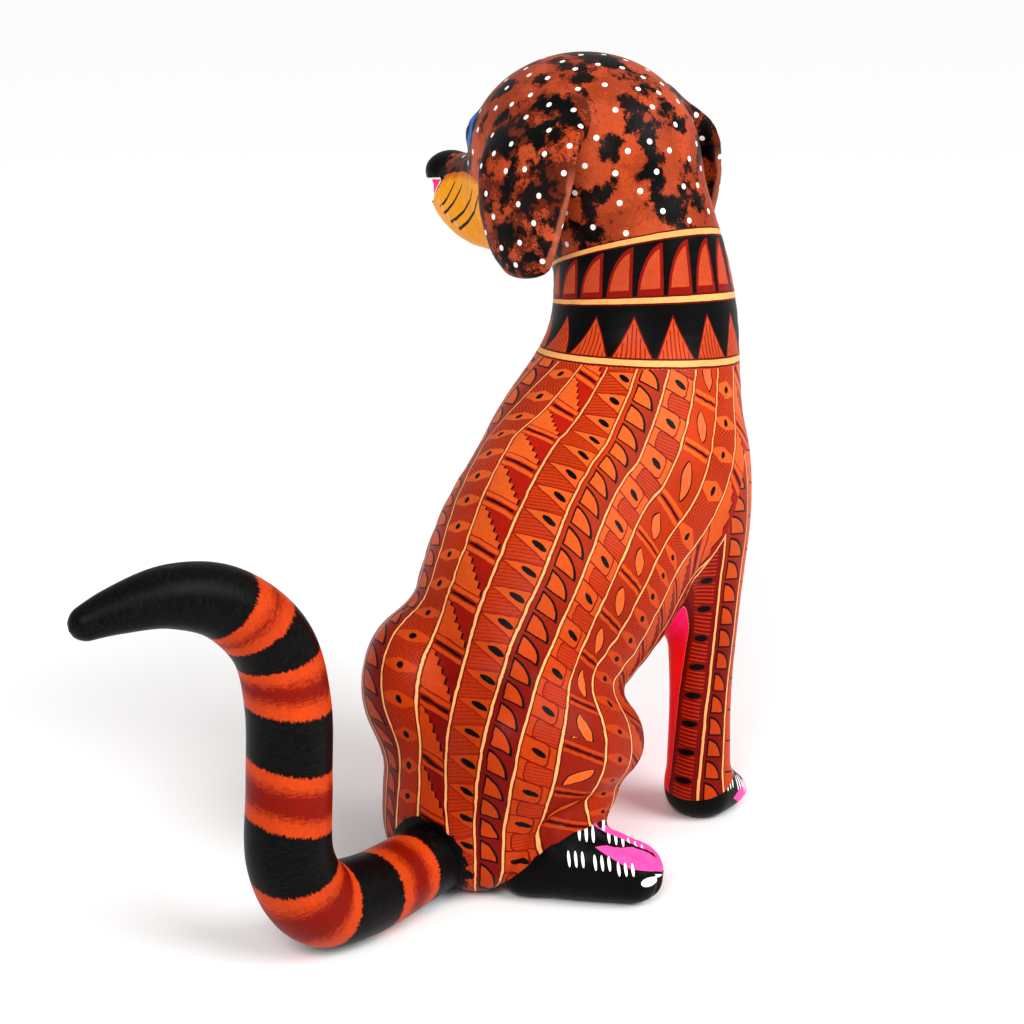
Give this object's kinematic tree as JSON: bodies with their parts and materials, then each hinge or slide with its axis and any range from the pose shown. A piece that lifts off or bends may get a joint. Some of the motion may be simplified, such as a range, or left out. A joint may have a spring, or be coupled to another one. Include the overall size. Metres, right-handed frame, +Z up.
{
  "type": "carved wooden dog figurine",
  "caption": "Sitting painted wooden dog with its head turned aside and a separate hooked tail plugged into its rump.",
  "frame": {"origin": "on the ground, in the flat underside of the rump, on the dog's middle plane", "axes": "+X to the dog's left, -Y to its front, +Z up"},
  "size_m": [0.1376, 0.2467, 0.2209],
  "materials": {
    "painted_body": "satin acrylic paint on carved copal wood, orange ground with fine cream, black and dark red patterns",
    "banded_tail": "satin acrylic paint, black and orange bands with brushed edges"
  },
  "bodies": {
    "root": {"dog": "painted_body", "tail": "banded_tail"}
  },
  "joints": []
}
